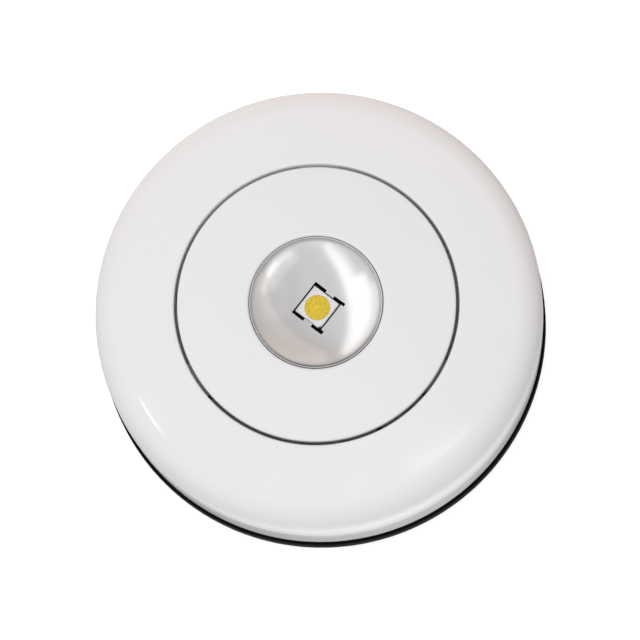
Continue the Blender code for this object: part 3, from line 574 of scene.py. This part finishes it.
def makeHousing():
    shell = dict(
        low=5.3, stepHeight=5.8, bandInset=0.2, draft=0.15, stepSoft=0.2, bandSoft=0.05, footSoft=0.2,
        insideSoft=0.15, collar=23.65, collarLow=17.4, collarSoft=0.12, edge=0.45, edgeRun=1.0,
        crownSteps=18, shoulderSteps=22, insideCrownSteps=8, insideShoulderSteps=10,
        lug=(32.05, 33.45, 6.4, 8.0), lugHalf=5.5, screwPlace=26.564, screwAngle=25.0, boss=(2.2, 1.2),
        bossLow=15.5, bossClear=0.7, ribAngles=(60, 120, 240, 300), ribWidth=1.0, ribDepth=2.4, ribReach=6.2,
        ribSink=0.4, ribClear=0.6,
    )
    bore = lamp["boreRadius"]
    crown = lamp["crownRadius"]
    body = lamp["bodyRadius"]
    shoulder = lamp["shoulder"]
    across = body - shoulder
    height = lamp["crownCentre"] + sqrt((crown - shoulder) ** 2 - across**2)
    lean = degrees(asin(across / (crown - shoulder)))
    outsideEnd = crown * sin(radians(lean))
    insideCrown = crown - lamp["wall"]
    insideEnd = insideCrown * sin(radians(lean))
    step = shell["low"] + shell["stepHeight"]
    band = body - shell["bandInset"]
    edgeEnd = bore + shell["edgeRun"]
    bm = turnProfile(strokeProfile([
        ("to", bore, shell["collarLow"], shell["collarSoft"]),
        ("to", bore, crownHeight(bore), shell["edge"]),
        ("to", edgeEnd, crownHeight(edgeEnd)),
        ("arc", 0, lamp["crownCentre"], crownSwing(edgeEnd, outsideEnd, crown), shell["crownSteps"]),
        ("arc", across, height, 90 - lean, shell["shoulderSteps"]),
        ("to", body, step, shell["stepSoft"]),
        ("to", band - shell["draft"], step, shell["bandSoft"]),
        ("to", band, shell["low"], shell["footSoft"]),
        ("to", lamp["insideRadius"], shell["low"], shell["insideSoft"]),
        ("to", lamp["insideRadius"], height),
        ("arc", across, height, lean - 90, shell["insideShoulderSteps"]),
        ("arc", 0, lamp["crownCentre"], crownSwing(insideEnd, shell["collar"], insideCrown),
         shell["insideCrownSteps"]),
        ("to", shell["collar"], shell["collarLow"], shell["collarSoft"]),
    ]))
    extras = []
    inner, outer, low, high = shell["lug"]
    lug = [(inner, low), (outer, low), (outer, high), (inner, high)]
    for quarter in range(4):
        extras.append(sectorOf(lug, 90 * quarter, shell["lugHalf"]))
    bossTurn = shell["screwAngle"]
    bossHigh = crownHeight(shell["screwPlace"] + shell["boss"][0]) - shell["bossClear"]
    for turn in (bossTurn, 180 - bossTurn, 180 + bossTurn, -bossTurn):
        x, y = placeAt(shell["screwPlace"], turn)
        extras.append(tubeAt(x, y, *shell["boss"], shell["bossLow"], bossHigh))
    ribInner = shell["collar"] - shell["ribSink"]
    ribTop = crownHeight(ribInner + shell["ribReach"]) - shell["ribClear"]
    ribSize = (shell["ribReach"], shell["ribWidth"], shell["ribDepth"])
    for turn in shell["ribAngles"]:
        centre = (*placeAt(ribInner + shell["ribReach"] / 2, turn), ribTop - shell["ribDepth"] / 2)
        extras.append(blockAt(centre, ribSize, turn))
    finishPiece(
        looseObject("domedHousing", gather(bm, extras)), "housing", "front_housing",
        finishes["whiteGloss"],
    )


makeHousing()


# The emitter

def makeEmitter():
    emitter = dict(
        side=5.0, low=18.0, high=19.3, corner=0.6, soft=0.1, softSegments=3, lean=0.15, nearby=0.01,
        window=2.0, windowDepth=0.6, wellDraft=0.01, wellEdge=0.05, wellEdgeLow=0.03, wellOver=0.02,
        toolRise=0.5, gel=1.99, gelSink=0.03, gelRoot=0.1, gelSteps=12,
        swell=0.06,  # how far the gel stands up in its middle
    )
    half = emitter["side"] / 2
    low, high = emitter["low"], emitter["high"]
    cut = half - emitter["corner"]
    turn = Matrix.Rotation(radians(lamp["emitterTurn"]), 4, "Z")
    bm = bmesh.new()
    outline = [(half, half), (-half, half), (-half, -half), (cut, -half), (half, -cut)]
    face = bm.faces.new([bm.verts.new((x * mm, y * mm, low * mm)) for x, y in outline])
    raised = bmesh.ops.extrude_face_region(bm, geom=[face])["geom"]
    lifted = [part for part in raised if isinstance(part, bmesh.types.BMVert)]
    bmesh.ops.translate(bm, verts=lifted, vec=(0, 0, (high - low) * mm))
    leaning = [point for point in lifted if point.co.x > (half - emitter["nearby"]) * mm]
    bmesh.ops.translate(bm, verts=leaning, vec=(-emitter["lean"] * mm, 0, 0))
    bmesh.ops.recalc_face_normals(bm, faces=bm.faces)
    softenEdges(bm, emitter["soft"], emitter["softSegments"])
    bm.transform(turn)
    package = looseObject("emitterPackage", bm)
    floor = high - emitter["windowDepth"]
    window = emitter["window"]
    rim = window + emitter["wellEdge"]
    well = turnProfile(strokeProfile([
        ("to", 0, floor),
        ("to", window, floor),
        ("to", window + emitter["wellDraft"], high - emitter["wellEdgeLow"]),
        ("to", rim, high + emitter["wellOver"]),
        ("to", rim, high + emitter["toolRise"]),
        ("to", 0, high + emitter["toolRise"]),
    ], closed=False), build["windowSteps"])
    cutAway(package, looseObject("wellTool", well))
    finishPiece(package, "housing", "led_package", finishes["packageWhite"])

    gelRadius = emitter["gel"]
    gelTop = high - emitter["gelSink"] + emitter["swell"]
    gelLow = floor + emitter["gelRoot"]
    ball = (gelRadius**2 + emitter["swell"] ** 2) / (2 * emitter["swell"])
    gel = turnProfile(strokeProfile([
        ("to", 0, gelTop),
        ("arc", 0, gelTop - ball, crownSwing(0, gelRadius, ball), emitter["gelSteps"]),
        ("to", gelRadius, gelLow),
        ("to", 0, gelLow),
    ], closed=False), build["windowSteps"])
    piece = looseObject("phosphorWindow", gel)
    piece.visible_glossy = False  # the bowl shows no yellow in its rim
    finishPiece(piece, "housing", "led_phosphor", finishes["phosphorGel"])


makeEmitter()


# The disc that is pressed

def makeDisc():
    disc = dict(
        radius=21.75, opening=10.49, openingEdge=0.5, edge=0.3, edgeRun=0.6, topSteps=20,
        undersideRun=0.3, undersideSteps=10, skirtDepth=1.6, skirtWall=1.4, skirtSoft=0.12, legHalf=8.0,
        leg=(20.5, 21.6, 23.35), legSink=0.4, catch=(15.9, 17.1), leadIn=0.5, stake=0.55, stakeSoft=0.1,
        stakeReach=0.3, rootDepth=0.75, post=1.4, postLow=21.4,
    )
    crown = lamp["crownRadius"]
    wall = lamp["discWall"]
    opening = disc["opening"]
    skirtLow = crownHeight(disc["radius"]) - disc["skirtDepth"]
    skirtInside = disc["radius"] - disc["skirtWall"]
    topSwing = crownSwing(opening + disc["edgeRun"], disc["radius"] - disc["edgeRun"], crown)
    undersideSwing = crownSwing(skirtInside, opening + disc["undersideRun"], crown - wall)
    bm = turnProfile(strokeProfile([
        ("to", opening, crownHeight(opening, wall)),
        ("to", opening, crownHeight(opening), disc["openingEdge"]),
        ("to", opening + disc["edgeRun"], crownHeight(opening + disc["edgeRun"])),
        ("arc", 0, lamp["crownCentre"], topSwing, disc["topSteps"]),
        ("to", disc["radius"], crownHeight(disc["radius"]), disc["edge"]),
        ("to", disc["radius"], skirtLow, disc["skirtSoft"]),
        ("to", skirtInside, skirtLow, disc["skirtSoft"]),
        ("to", skirtInside, crownHeight(skirtInside, wall)),
        ("arc", 0, lamp["crownCentre"], undersideSwing, disc["undersideSteps"]),
    ]))
    legIn, legOut, reach = disc["leg"]
    low, high = disc["catch"]
    root = skirtLow + disc["legSink"]
    outline = [(legIn, low), (reach - disc["leadIn"], low), (reach, low + disc["leadIn"]), (reach, high)]
    outline += [(legOut, high), (legOut, root), (legIn, root)]
    extras = [sectorOf(outline, turn, disc["legHalf"]) for turn in lamp["stakeAngles"]]
    stakeLow = flangeHeights()[0] - disc["stakeReach"]
    stakeHigh = crownHeight(lamp["stakePlace"], disc["rootDepth"])
    for turn in lamp["stakeAngles"]:
        x, y = placeAt(lamp["stakePlace"], turn)
        extras.append(tubeAt(x, y, disc["stake"], 0, stakeLow, stakeHigh, disc["stakeSoft"]))
    postHigh = crownHeight(lamp["switchPlace"], disc["rootDepth"])
    extras.append(tubeAt(0, -lamp["switchPlace"], disc["post"], 0, disc["postLow"], postHigh))
    finishPiece(
        looseObject("pushDisc", gather(bm, extras)), "button", "push_disc",
        finishes["whiteGloss"],
    )


def makeBowl():
    bowl = dict(
        mouth=10.25, lip=0.15, low=19.6, wall=0.6, outside=15.46,
        ball=15.375,  # the bowl's own radius, up to where its edge begins to curl up
        curlStart=9.75, curl=2.0, ballSteps=40, curlSteps=8, outsideSteps=14,
        flangeSoft=0.12, seatSoft=0.1, lipSoft=0.06, mouthSoft=0.05,
        side=5.0, windowEnds=(-2.63, 2.76), sideRoom=0.1,
        slotDepths=(0.64, 0.48),  # at the lower left and the upper right
        slotLength=2.2, slotShift=0.35, tongue=1.5, toolHeight=4, toolSoft=0.05, stakeHole=0.8, holeOver=0.5,
    )
    low = bowl["low"]
    curl = bowl["curl"]
    mouth = bowl["mouth"]
    centre = low + bowl["ball"]
    startSlope = asin(bowl["curlStart"] / bowl["ball"])
    curlAcross = bowl["curlStart"] - curl * sin(startSlope)
    curlHeight = centre - (bowl["ball"] - curl) * cos(startSlope)
    mouthSlope = asin((mouth - curlAcross) / curl)
    high = curlHeight - curl * cos(mouthSlope)
    flangeLow, flangeTop = flangeHeights()
    outside = bowl["outside"]
    underCentre = low - bowl["wall"] + outside
    underSwing = degrees(asin(sqrt(outside**2 - (underCentre - flangeLow) ** 2) / outside))
    bm = turnProfile(strokeProfile([
        ("to", 0, low - bowl["wall"]),
        ("arc", 0, underCentre, -underSwing, bowl["outsideSteps"]),
        ("to", lamp["flangeRadius"], flangeLow, bowl["flangeSoft"]),
        ("to", lamp["flangeRadius"], flangeTop, bowl["flangeSoft"]),
        ("to", mouth + bowl["lip"], flangeTop, bowl["seatSoft"]),
        ("to", mouth + bowl["lip"], high, bowl["lipSoft"]),
        ("to", mouth, high, bowl["mouthSoft"]),
        ("arc", curlAcross, curlHeight, degrees(mouthSlope - startSlope), bowl["curlSteps"]),
        ("arc", 0, centre, degrees(startSlope), bowl["ballSteps"]),
    ], closed=False))
    piece = looseObject("reflectorBowl", bm)
    turn = Matrix.Rotation(radians(lamp["emitterTurn"]), 4, "Z")
    near, far = bowl["windowEnds"]
    windowSize = (far - near, bowl["side"] + 2 * bowl["sideRoom"], bowl["toolHeight"])
    window = blockAt(((near + far) / 2, 0, low), windowSize, soft=bowl["toolSoft"])
    window.transform(turn)
    tools = [looseObject("windowTool", window)]
    slotMiddle = (bowl["tongue"] + bowl["slotLength"]) / 2
    for end, side in ((-1, -1), (-1, 1), (1, -1), (1, 1)):
        slotDepth = bowl["slotDepths"][side > 0]
        place = (bowl["slotShift"] + end * slotMiddle, side * (bowl["side"] + slotDepth) / 2, low)
        slotSize = (bowl["slotLength"], slotDepth, bowl["toolHeight"])
        slot = blockAt(place, slotSize, soft=bowl["toolSoft"])
        slot.transform(turn)
        tools.append(looseObject("slotTool", slot))
    over = bowl["holeOver"]
    for angle in lamp["stakeAngles"]:
        x, y = placeAt(lamp["stakePlace"], angle)
        hole = tubeAt(x, y, bowl["stakeHole"], 0, flangeLow - over, flangeTop + over)
        tools.append(looseObject("stakeTool", hole))
    cutAway(piece, *tools)
    finishPiece(piece, "button", "reflector_bowl", finishes["bowlSilver"])


makeDisc()
makeBowl()


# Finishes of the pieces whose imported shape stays

keptNodes = dict(
    battery_tray="whiteInner",
    battery_1="cellSleeve", battery_2="cellSleeve", battery_3="cellSleeve",
    contact_positive="contactNickel", contact_negative="contactNickel",
    contact_link_front="contactNickel", contact_link_rear="contactNickel",
    battery_spring_1="contactNickel", battery_spring_2="contactNickel", battery_spring_3="contactNickel",
    tray_screw_1="screwSteel", tray_screw_2="screwSteel",
    tray_screw_3="screwSteel", tray_screw_4="screwSteel",
    board_screw_1="screwSteel", board_screw_2="screwSteel",
    circuit_board="boardMask", led_leads="leadTin", led_resistor="componentBlack",
    switch_case="componentBlack", switch_plunger="plungerWhite",
    wire_red="sleeveRed", wire_black="sleeveBlack",
)
for node, finish in keptNodes.items():
    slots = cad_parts[node].material_slots
    if not slots:
        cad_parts[node].data.materials.append(finishes[finish])
    for materialSlot in slots:
        materialSlot.material = finishes[finish]
print("kept nodes finished,", len(keptNodes))


# Floor, light and camera

def makeFloor():
    ground = dict(radius=2.5, drop=0.1, steps=96, colour=(0.975, 0.975, 0.975), roughness=0.9, shine=0.1)
    bm = bmesh.new()
    bmesh.ops.create_circle(
        bm, cap_ends=True, segments=ground["steps"], radius=ground["radius"],
        matrix=Matrix.Translation((0, 0, -ground["drop"] * mm)),
    )
    floor = looseObject("paleFloor", bm)
    paint = startMaterial("floorPaint", {
        "Base Color": opaque(ground["colour"]),
        "Roughness": ground["roughness"],
        "Specular IOR Level": ground["shine"],
    })
    floor.data.materials.append(paint[0])
    floor.visible_glossy = False  # the gloss shows a dark surround below the lamp, as beside a table
    floor.visible_diffuse = False  # the wall light stands in for its glow


def makeAir():
    # Each side is a direction, and how far the view turns towards it where its colour starts and is full
    air = dict(
        brightSide=((-0.68, -0.28, 0.66), -0.6, 0.62), bright=(0.86, 0.86, 0.87), dim=(0.51, 0.485, 0.475),
        warmSide=((0.3, 0.95, 0.0), 0.7, 0.97), warm=(0.62, 0.52, 0.47),
        backSide=((-0.6, 0.8, 0.0), 0.0, 0.8), back=(1.05, 0.98, 0.95), under=(0.42, 0.41, 0.4),
        horizon=(-0.2, 0.35),
    )
    world = bpy.data.worlds.new("studioAir")
    bpy.context.scene.world = world
    world.use_nodes = True
    tree = world.node_tree
    sky = addNode(tree, "ShaderNodeTexCoord").outputs["Generated"]

    def towards(direction, start, end):
        turned = addNode(tree, "ShaderNodeVectorMath", {0: sky, 1: direction}, operation="DOT_PRODUCT")
        return mapRange(tree, turned.outputs["Value"], start, end)

    upper = mix(tree, towards(*air["brightSide"]), opaque(air["dim"]), opaque(air["bright"]))
    tinted = mix(tree, towards(*air["warmSide"]), upper, opaque(air["warm"]))
    below = mix(tree, towards(*air["backSide"]), opaque(air["under"]), opaque(air["back"]))
    height = addNode(tree, "ShaderNodeSeparateXYZ", {"Vector": sky}).outputs["Z"]
    whole = mix(tree, mapRange(tree, height, *air["horizon"]), below, tinted)
    tree.links.new(whole, tree.nodes["Background"].inputs["Color"])


def gatherObjects(name, names):
    group = bpy.data.collections.new(name)
    for one in names:
        group.objects.link(bpy.data.objects[one])
    return group


def addSun(name, only, towards, strength, spread, shadows=True, colour=(1, 1, 1), blockers=()):
    # An even light from far off on these pieces, in no gloss. Its shadows soften with its spread in degrees.
    light = bpy.data.lights.new(name, "SUN")
    light.energy = strength
    light.angle = radians(spread)
    light.color = colour
    light.use_shadow = shadows
    sun = bpy.data.objects.new(name, light)
    sun.rotation_euler = Vector(towards).to_track_quat("Z", "Y").to_euler()
    sun.visible_glossy = False
    sun.light_linking.receiver_collection = gatherObjects(name, only)
    if blockers:
        sun.light_linking.blocker_collection = gatherObjects(name + "Blockers", blockers)
    bpy.context.scene.collection.objects.link(sun)


bowlPlace = Vector((0, 0, 0.02))  # what the panels face


def addPanel(name, only, place, size, brightness, backTo=None, roll=0.0):
    # A panel that shows only in the gloss of these pieces. It faces the bowl, or stands upright with
    # its back to this direction, in degrees round from +X. Brightness is that of its own surface.
    light = bpy.data.lights.new(name, "AREA")
    light.shape = "RECTANGLE"
    light.size, light.size_y = size
    light.energy = brightness * pi * size[0] * size[1]
    panel = bpy.data.objects.new(name, light)
    panel.location = place
    away = Vector(place) - bowlPlace if backTo is None else Vector((*placeAt(1, backTo), 0))
    facing = away.to_track_quat("Z", "Y").to_matrix()
    panel.rotation_euler = (facing @ Matrix.Rotation(radians(roll), 3, "Z")).to_euler()
    panel.visible_camera = False
    panel.visible_diffuse = False
    panel.light_linking.receiver_collection = gatherObjects(name, only)
    bpy.context.scene.collection.objects.link(panel)


def addSuns():
    housing = ["domedHousing"]
    lit = housing + ["pushDisc", "emitterPackage", "phosphorWindow"]
    addSun("evenLight", lit, towards=(0.03, -0.26, 0.95), strength=0.87, spread=34.0)
    addSun("floorLight", ["paleFloor"], towards=(0.0, 0.0, 1.0), strength=1.9, spread=30.0, shadows=False)
    # The glow of the white table on the side wall, from below. Only the lamp's own pieces block it.
    pieces = [one.name for one in bpy.data.objects if one.type == "MESH" and one.name != "paleFloor"]
    addSun(
        "wallLight", housing, towards=(0.2, -0.45, -0.87), strength=3.5, spread=10.0,
        colour=(1.0, 0.985, 0.97), blockers=pieces,
    )
    # The warm tint along the shoulder's far side
    addSun(
        "warmLight", housing, towards=(0.2, 0.95, 0.13), strength=0.3, spread=20.0, colour=(1.0, 0.45, 0.12),
    )
    # A little light in the gap round the disc, where its wall faces the camera
    addSun("gapLight", housing, towards=(0.1, -0.7, -0.7), strength=0.8, spread=16.0, shadows=False)


def addBowlPanels():
    bowl = ["reflectorBowl"]
    # The window whose light fills the bowl is one upright plane, in parts: start, end, low, high, brightness
    plane = dict(point=(-0.386, -0.1035), along=(0.2588, -0.9659), backTo=195.0)
    parts = (
        (-2.2, 0.05, 0.185, 0.572, 0.7),
        (0.05, 0.75, 0.34, 0.572, 0.66),
        (0.05, 0.75, 0.26, 0.34, 0.25),
        (-2.2, -0.05, 0.13, 0.185, 0.4),
        (-2.2, -0.05, 0.085, 0.13, 0.22),
    )
    for number, (start, end, low, high, brightness) in enumerate(parts, 1):
        middle = (start + end) / 2
        x, y = (point + along * middle for point, along in zip(plane["point"], plane["along"]))
        addPanel(
            f"keyPanel{number}", bowl + ["emitterPackage"], (x, y, (low + high) / 2),
            (end - start, high - low), brightness, plane["backTo"],
        )
    addPanel(
        "bowlFillPanel", bowl, place=(0.306, 0.257, 0.2), size=(1.5, 0.36), brightness=0.2, backTo=40.0,
    )
    # The soft arc in the bowl, brightest in its middle: degrees round, degrees up, size and brightness
    arc = (
        (328.0, 29.5, (0.16, 0.045), 1.7), (307.0, 29.5, (0.17, 0.045), 1.0),
        (349.0, 29.5, (0.17, 0.045), 0.5), (322.0, 39.0, (0.44, 0.12), 0.24),
        (275.0, 26.0, (0.3, 0.09), 0.2), (5.0, 42.0, (0.4, 0.3), 0.1),
    )
    arcDistance = 0.5
    for number, (turn, rise, size, brightness) in enumerate(arc, 1):
        level = Vector((*placeAt(1, turn), 0)) * cos(radians(rise))
        away = level + Vector((0, 0, sin(radians(rise))))
        addPanel(f"arcPanel{number}", bowl, away * arcDistance + bowlPlace, size, brightness)


def addShoulderPanels():
    # The thin streak at the lower left and the wide soft one at the lower right
    housing = ["domedHousing"]
    addPanel("streakPanel", housing, place=(-0.325, -0.085, 0.517), size=(0.06, 0.022), brightness=18.0)
    addPanel(
        "softPanel", housing, place=(0.208, -0.16, 0.685), size=(0.15, 0.01), brightness=7.0, roll=-20.0,
    )


def makeCamera():
    view = dict(back=(0.054, -0.187, 0.981), distance=1.1, aim=(0.0, -0.0006, 0.012), lens=394.0, near=0.01)
    camera = bpy.data.objects.new("frontCamera", bpy.data.cameras.new("frontCamera"))
    back = Vector(view["back"]).normalized()
    camera.location = Vector(view["aim"]) + back * view["distance"]
    right = Vector((0, 1, 0)).cross(back).normalized()
    camera.rotation_euler = Matrix((right, back.cross(right), back)).transposed().to_euler()
    camera.data.lens = view["lens"]
    camera.data.clip_start = view["near"]
    bpy.context.scene.collection.objects.link(camera)
    bpy.context.scene.camera = camera


makeFloor()
makeAir()
addSuns()
addBowlPanels()
addShoulderPanels()
makeCamera()
bpy.context.scene.view_settings.view_transform = "Standard"
print("floor, light and camera placed")
